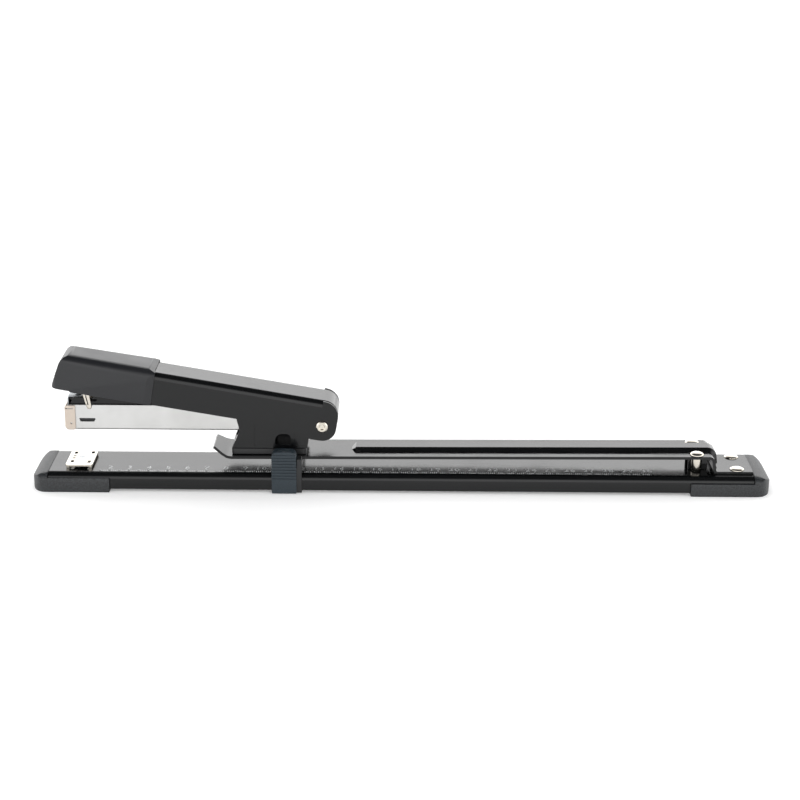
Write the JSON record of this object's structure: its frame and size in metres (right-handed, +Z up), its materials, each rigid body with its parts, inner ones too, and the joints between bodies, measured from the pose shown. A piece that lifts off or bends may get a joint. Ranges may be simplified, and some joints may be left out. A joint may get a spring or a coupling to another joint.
{
  "type": "long-arm stapler",
  "caption": "Long-arm stapler: ruled steel base with a reversible anvil and sliding paper stop, and a long flat arm carrying a hinged magazine and capped handle.",
  "frame": {"origin": "under the middle of the overall length and width, on the plane that the feet stand on", "axes": "+X along the base from the anvil end to the fixed end of the arm, +Y across, +Z up"},
  "size_m": [0.3836, 0.0404, 0.0704],
  "materials": {
    "black_paint": "gloss black stove enamel on steel sheet",
    "foot_plastic": "fine spark texture, dark grey",
    "cap_plastic": "satin dark grey moulding",
    "grip_plastic": "satin blue-grey moulding",
    "black_plastic": "plain black moulding",
    "nickel": "bright nickel plate",
    "warm_nickel": "satin nickel plate with a warm tone",
    "plain_steel": "zinc-plated steel",
    "spring_steel": "drawn spring wire",
    "staple_wire": "galvanised flat wire, glued in a strip",
    "rubber": "matt black rubber"
  },
  "bodies": {
    "base": {"base_channel": "black_paint", "front_foot": "foot_plastic", "rear_foot": "foot_plastic", "front_foot_screw": "plain_steel", "rear_foot_screw": "plain_steel", "long_arm": "black_paint", "riser_block": "black_paint", "guide_post_near": "nickel", "guide_post_far": "nickel", "tab_rivet_near": "nickel", "tab_rivet_far": "nickel", "bracket_pad": "black_plastic", "head_bracket": "black_paint", "bracket_rivet_front": "plain_steel", "bracket_rivet_rear": "plain_steel", "pivot_pin": "nickel", "pivot_washer_near": "plain_steel", "pivot_washer_far": "plain_steel", "magazine_spring": "spring_steel", "anvil_spring": "spring_steel"},
    "magazine": {"magazine_channel": "nickel", "head_plate": "warm_nickel", "staple_rail": "plain_steel", "staple_strip": "staple_wire", "pusher_rod": "plain_steel", "pusher_spring": "spring_steel"},
    "staple_pusher": {"pusher": "black_plastic"},
    "loading_arm": {"inner_arm": "black_paint", "latch_yoke": "nickel"},
    "handle": {"handle_shell": "black_paint", "handle_cap": "cap_plastic", "driver_arm": "black_paint", "driver_blade": "plain_steel", "driver_rivet": "plain_steel", "press_block": "black_plastic", "return_leaf": "spring_steel"},
    "paper_stop": {"stop_slider": "black_plastic", "stop_grip_near": "grip_plastic", "stop_grip_far": "grip_plastic", "stop_pad": "rubber"},
    "anvil_lifter": {"anvil_stem": "plain_steel"},
    "anvil": {"anvil_plate": "nickel"}
  },
  "joints": [
    {"name": "magazine_hinge", "type": "hinge", "parent": "base", "child": "magazine", "pos_m": [-0.04115, 0, 0.0339], "axis": [0, 1, 0], "range_deg": [-7.5, 0], "stiffness_Nm_per_rad": 1, "springref_deg": 14.32, "deforming": ["magazine_spring"]},
    {"name": "loading_hinge", "type": "hinge", "parent": "magazine", "child": "loading_arm", "pos_m": [-0.04115, 0, 0.0339], "axis": [0, 1, 0], "range_deg": [0, 85]},
    {"name": "press_hinge", "type": "hinge", "parent": "loading_arm", "child": "handle", "pos_m": [-0.04115, 0, 0.0339], "axis": [0, 1, 0], "range_deg": [-3.5, 0], "stiffness_Nm_per_rad": 3, "springref_deg": 3.44, "deforming": ["return_leaf"]},
    {"name": "pusher_slide", "type": "slide", "parent": "magazine", "child": "staple_pusher", "axis": [1, 0, 0], "range_m": [0, 0.053], "stiffness_N_per_m": 40, "springref_m": -0.045, "deforming": ["pusher_spring"]},
    {"name": "paper_stop_slide", "type": "slide", "parent": "base", "child": "paper_stop", "axis": [1, 0, 0], "range_m": [-0.08, 0.195]},
    {"name": "anvil_lift", "type": "slide", "parent": "base", "child": "anvil_lifter", "axis": [0, 0, 1], "range_m": [0, 0.0025], "stiffness_N_per_m": 150, "springref_m": -0.006, "deforming": ["anvil_spring"]},
    {"name": "anvil_turn", "type": "hinge", "parent": "anvil_lifter", "child": "anvil", "pos_m": [-0.16725, 0, 0.0115], "axis": [0, 0, 1], "range_deg": [0, 180]}
  ]
}
